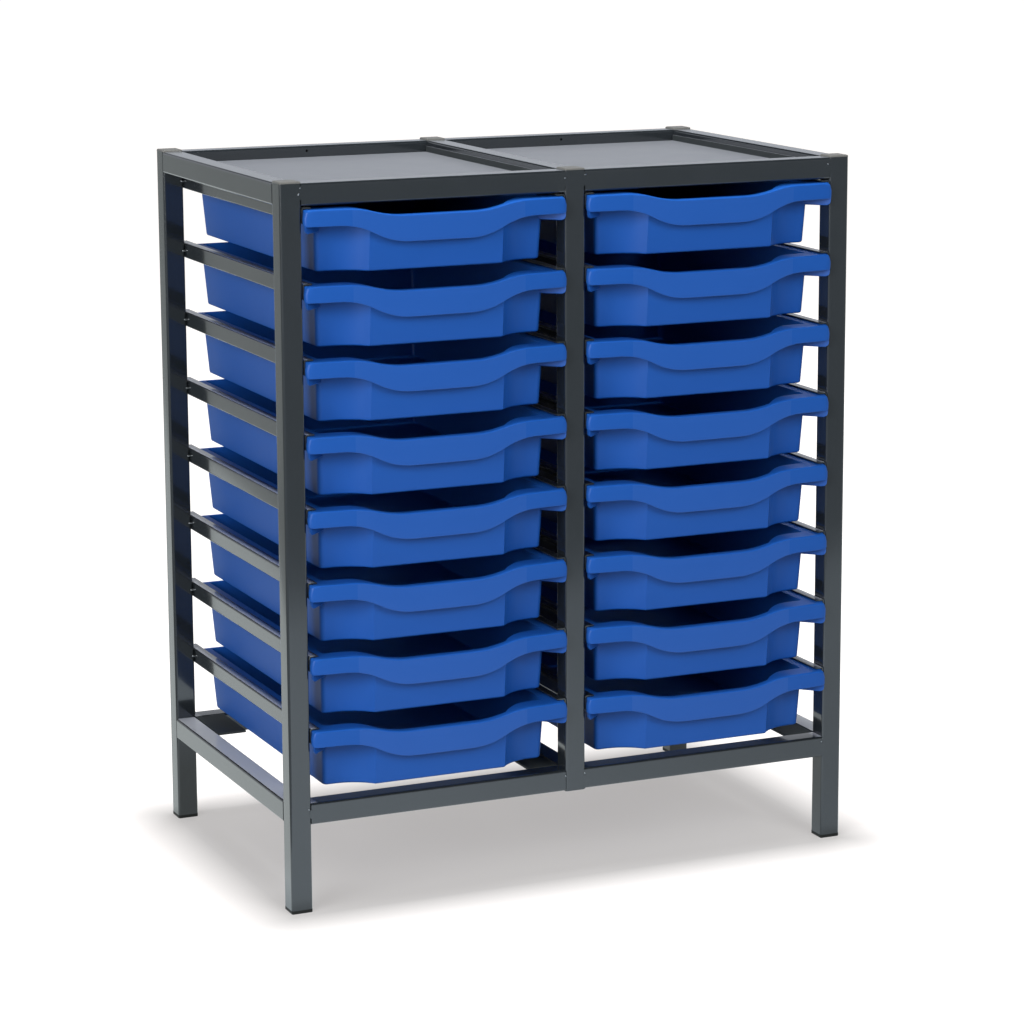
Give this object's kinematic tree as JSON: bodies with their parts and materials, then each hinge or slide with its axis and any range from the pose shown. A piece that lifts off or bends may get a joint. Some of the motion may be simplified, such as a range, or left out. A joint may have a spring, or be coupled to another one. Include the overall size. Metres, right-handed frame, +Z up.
{
  "type": "classroom tray storage unit",
  "caption": "Low free-standing welded tube frame with columns of shallow plastic trays that slide out on channel runners by a wavy front lip, under recessed top panels.",
  "frame": {"origin": "on the floor, under the middle of the whole unit, tray lips included", "axes": "+X to the right of someone facing the tray fronts, +Y from the tray fronts to the back, +Z up"},
  "size_m": [0.705, 0.4454, 0.8272],
  "materials": {
    "frame_coating": "satin",
    "panel_coating": "satin",
    "cap_plastic": "matte",
    "foot_plastic": "matte",
    "tray_plastic": "satin"
  },
  "bodies": {
    "frame": {"leg_front_left": "frame_coating", "leg_front_right": "frame_coating", "post_front_middle": "frame_coating", "leg_back_left": "frame_coating", "leg_back_right": "frame_coating", "post_back_middle": "frame_coating", "top_rail_front_left": "frame_coating", "top_rail_back_left": "frame_coating", "top_rail_front_right": "frame_coating", "top_rail_back_right": "frame_coating", "top_rail_left_side": "frame_coating", "top_rail_centre": "frame_coating", "top_rail_right_side": "frame_coating", "bottom_rail_front_left": "frame_coating", "bottom_rail_back_left": "frame_coating", "bottom_rail_front_right": "frame_coating", "bottom_rail_back_right": "frame_coating", "bottom_rail_left_side": "frame_coating", "bottom_rail_centre": "frame_coating", "bottom_rail_right_side": "frame_coating", "runners_left_side": "frame_coating", "runners_centre_left": "frame_coating", "runners_centre_right": "frame_coating", "runners_right_side": "frame_coating", "corner_plates": "frame_coating", "top_panel_left": "panel_coating", "top_panel_right": "panel_coating", "post_caps": "cap_plastic", "leg_feet": "foot_plastic"},
    "tray_left_1": {"tray_left_1": "tray_plastic"},
    "tray_left_2": {"tray_left_2": "tray_plastic"},
    "tray_left_3": {"tray_left_3": "tray_plastic"},
    "tray_left_4": {"tray_left_4": "tray_plastic"},
    "tray_left_5": {"tray_left_5": "tray_plastic"},
    "tray_left_6": {"tray_left_6": "tray_plastic"},
    "tray_left_7": {"tray_left_7": "tray_plastic"},
    "tray_left_8": {"tray_left_8": "tray_plastic"},
    "tray_right_1": {"tray_right_1": "tray_plastic"},
    "tray_right_2": {"tray_right_2": "tray_plastic"},
    "tray_right_3": {"tray_right_3": "tray_plastic"},
    "tray_right_4": {"tray_right_4": "tray_plastic"},
    "tray_right_5": {"tray_right_5": "tray_plastic"},
    "tray_right_6": {"tray_right_6": "tray_plastic"},
    "tray_right_7": {"tray_right_7": "tray_plastic"},
    "tray_right_8": {"tray_right_8": "tray_plastic"}
  },
  "joints": [
    {"name": "tray_left_1_slide", "type": "slide", "parent": "frame", "child": "tray_left_1", "axis": [0, -1, 0], "range_m": [0, 0.44]},
    {"name": "tray_left_2_slide", "type": "slide", "parent": "frame", "child": "tray_left_2", "axis": [0, -1, 0], "range_m": [0, 0.44]},
    {"name": "tray_left_3_slide", "type": "slide", "parent": "frame", "child": "tray_left_3", "axis": [0, -1, 0], "range_m": [0, 0.44]},
    {"name": "tray_left_4_slide", "type": "slide", "parent": "frame", "child": "tray_left_4", "axis": [0, -1, 0], "range_m": [0, 0.44]},
    {"name": "tray_left_5_slide", "type": "slide", "parent": "frame", "child": "tray_left_5", "axis": [0, -1, 0], "range_m": [0, 0.44]},
    {"name": "tray_left_6_slide", "type": "slide", "parent": "frame", "child": "tray_left_6", "axis": [0, -1, 0], "range_m": [0, 0.44]},
    {"name": "tray_left_7_slide", "type": "slide", "parent": "frame", "child": "tray_left_7", "axis": [0, -1, 0], "range_m": [0, 0.44]},
    {"name": "tray_left_8_slide", "type": "slide", "parent": "frame", "child": "tray_left_8", "axis": [0, -1, 0], "range_m": [0, 0.44]},
    {"name": "tray_right_1_slide", "type": "slide", "parent": "frame", "child": "tray_right_1", "axis": [0, -1, 0], "range_m": [0, 0.44]},
    {"name": "tray_right_2_slide", "type": "slide", "parent": "frame", "child": "tray_right_2", "axis": [0, -1, 0], "range_m": [0, 0.44]},
    {"name": "tray_right_3_slide", "type": "slide", "parent": "frame", "child": "tray_right_3", "axis": [0, -1, 0], "range_m": [0, 0.44]},
    {"name": "tray_right_4_slide", "type": "slide", "parent": "frame", "child": "tray_right_4", "axis": [0, -1, 0], "range_m": [0, 0.44]},
    {"name": "tray_right_5_slide", "type": "slide", "parent": "frame", "child": "tray_right_5", "axis": [0, -1, 0], "range_m": [0, 0.44]},
    {"name": "tray_right_6_slide", "type": "slide", "parent": "frame", "child": "tray_right_6", "axis": [0, -1, 0], "range_m": [0, 0.44]},
    {"name": "tray_right_7_slide", "type": "slide", "parent": "frame", "child": "tray_right_7", "axis": [0, -1, 0], "range_m": [0, 0.44]},
    {"name": "tray_right_8_slide", "type": "slide", "parent": "frame", "child": "tray_right_8", "axis": [0, -1, 0], "range_m": [0, 0.44]}
  ]
}
